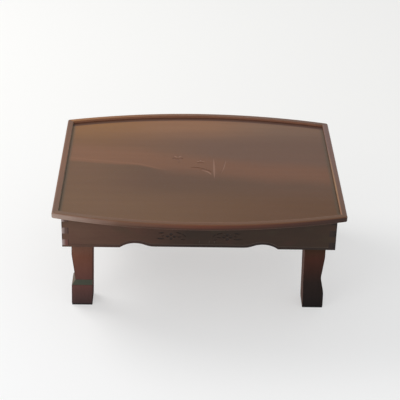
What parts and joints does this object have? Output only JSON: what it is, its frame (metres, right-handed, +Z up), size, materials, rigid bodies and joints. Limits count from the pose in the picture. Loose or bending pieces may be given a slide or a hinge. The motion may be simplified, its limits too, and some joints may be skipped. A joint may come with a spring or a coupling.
{
  "type": "folding kang table",
  "caption": "Low oblong tea table with a sunk panel in a bowed rim, a finger-jointed apron with a scalloped edge, and notched legs that fold flat beneath it.",
  "frame": {"origin": "on the floor under the middle of the table", "axes": "+X to the right along the length, -Y towards the side the picture shows, +Z up"},
  "size_m": [0.6, 0.506, 0.24],
  "materials": {
    "panel_wood": "satin lacquer",
    "rim_wood": "satin lacquer",
    "apron_wood": "satin lacquer",
    "left_leg_wood": "satin lacquer",
    "right_leg_wood": "satin lacquer",
    "block_wood": "raw",
    "bracket_steel": "zinc plated",
    "spring_steel": "blued",
    "pin_steel": "bright",
    "screw_steel": "yellow zinc",
    "foot_rubber": "matt",
    "stop_rubber": "matt"
  },
  "bodies": {
    "table": {"top_panel": "panel_wood", "batten_screws": "screw_steel", "long_cleat_screws": "screw_steel", "end_cleat_screws": "screw_steel", "spring_rivets": "spring_steel", "left_rim_rail": "rim_wood", "left_apron": "apron_wood", "left_batten": "block_wood", "left_cleat": "block_wood", "right_rim_rail": "rim_wood", "right_apron": "apron_wood", "right_batten": "block_wood", "right_cleat": "block_wood", "front_rim_rail": "rim_wood", "front_apron": "apron_wood", "front_cleat": "block_wood", "rear_rim_rail": "rim_wood", "rear_apron": "apron_wood", "rear_cleat": "block_wood", "front_left_mount": "block_wood", "front_left_bracket": "bracket_steel", "front_left_spring": "spring_steel", "front_left_pin": "pin_steel", "front_left_stop": "stop_rubber", "front_left_bracket_screws": "screw_steel", "front_right_mount": "block_wood", "front_right_bracket": "bracket_steel", "front_right_spring": "spring_steel", "front_right_pin": "pin_steel", "front_right_stop": "stop_rubber", "front_right_bracket_screws": "screw_steel", "rear_left_mount": "block_wood", "rear_left_bracket": "bracket_steel", "rear_left_spring": "spring_steel", "rear_left_pin": "pin_steel", "rear_left_stop": "stop_rubber", "rear_left_bracket_screws": "screw_steel", "rear_right_mount": "block_wood", "rear_right_bracket": "bracket_steel", "rear_right_spring": "spring_steel", "rear_right_pin": "pin_steel", "rear_right_stop": "stop_rubber", "rear_right_bracket_screws": "screw_steel"},
    "front_left_folding_leg": {"front_left_leg": "left_leg_wood", "front_left_foot_pad": "foot_rubber"},
    "front_right_folding_leg": {"front_right_leg": "right_leg_wood", "front_right_foot_pad": "foot_rubber"},
    "rear_left_folding_leg": {"rear_left_leg": "left_leg_wood", "rear_left_foot_pad": "foot_rubber"},
    "rear_right_folding_leg": {"rear_right_leg": "right_leg_wood", "rear_right_foot_pad": "foot_rubber"}
  },
  "joints": [
    {"name": "front_left_leg_fold", "type": "hinge", "parent": "table", "child": "front_left_folding_leg", "pos_m": [-0.2409, -0.1657, 0.1905], "axis": [0, -1, 0], "range_deg": [0, 90], "deforming": ["front_left_spring"]},
    {"name": "front_right_leg_fold", "type": "hinge", "parent": "table", "child": "front_right_folding_leg", "pos_m": [0.2409, -0.1657, 0.1905], "axis": [0, 1, 0], "range_deg": [0, 90], "deforming": ["front_right_spring"]},
    {"name": "rear_left_leg_fold", "type": "hinge", "parent": "table", "child": "rear_left_folding_leg", "pos_m": [-0.2409, 0.1657, 0.1905], "axis": [0, -1, 0], "range_deg": [0, 90], "deforming": ["rear_left_spring"]},
    {"name": "rear_right_leg_fold", "type": "hinge", "parent": "table", "child": "rear_right_folding_leg", "pos_m": [0.2409, 0.1657, 0.1905], "axis": [0, 1, 0], "range_deg": [0, 90], "deforming": ["rear_right_spring"]}
  ]
}
